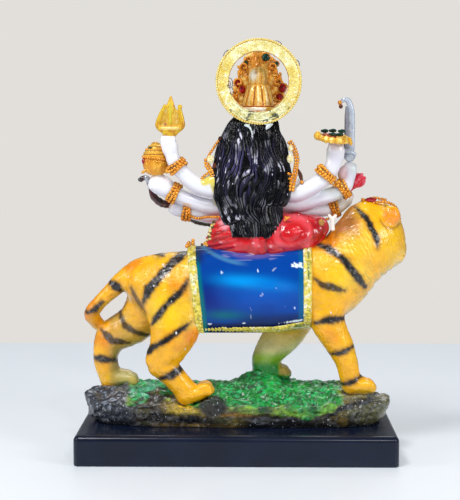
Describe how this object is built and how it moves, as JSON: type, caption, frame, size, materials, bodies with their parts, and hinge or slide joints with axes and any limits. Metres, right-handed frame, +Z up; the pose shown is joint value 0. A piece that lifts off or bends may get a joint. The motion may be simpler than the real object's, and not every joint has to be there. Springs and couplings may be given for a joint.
{
  "type": "durga figurine",
  "caption": "Painted resin figurine of a seated eight-armed goddess riding a walking tiger, with a halo ring, hand attributes and a black plinth.",
  "frame": {"origin": "middle of the plinth's underside", "axes": "+Z up, the goddess faces +Y, and the tiger walks towards +X"},
  "size_m": [0.174, 0.0756, 0.2202],
  "materials": {
    "plinth_lacquer": "black satin lacquer",
    "painted_resin": "airbrushed paint under gloss varnish",
    "gold_foil": "crumpled pale gold foil",
    "gilt": "gold paint, lightly worn",
    "maroon_paint": "gloss paint",
    "silver_paint": "silver paint",
    "red_paint": "gloss paint",
    "copper_beads": "plated beads"
  },
  "bodies": {
    "root": {"plinth": "plinth_lacquer", "casting": "painted_resin", "halo_ring": "gold_foil", "bow": "maroon_paint", "trident": "gilt", "mace": "gilt", "disc": "gilt", "sword": "silver_paint", "lotus": "red_paint", "bead_chain_left_shoulder": "copper_beads", "bead_chain_right_shoulder": "copper_beads", "bead_chain_tiger_head": "copper_beads", "bracelet_left_upper": "copper_beads", "bracelet_left_middle": "copper_beads", "bracelet_left_lower": "copper_beads", "bracelet_right_upper": "copper_beads", "bracelet_right_middle": "copper_beads", "bracelet_right_lower": "copper_beads"}
  },
  "joints": []
}
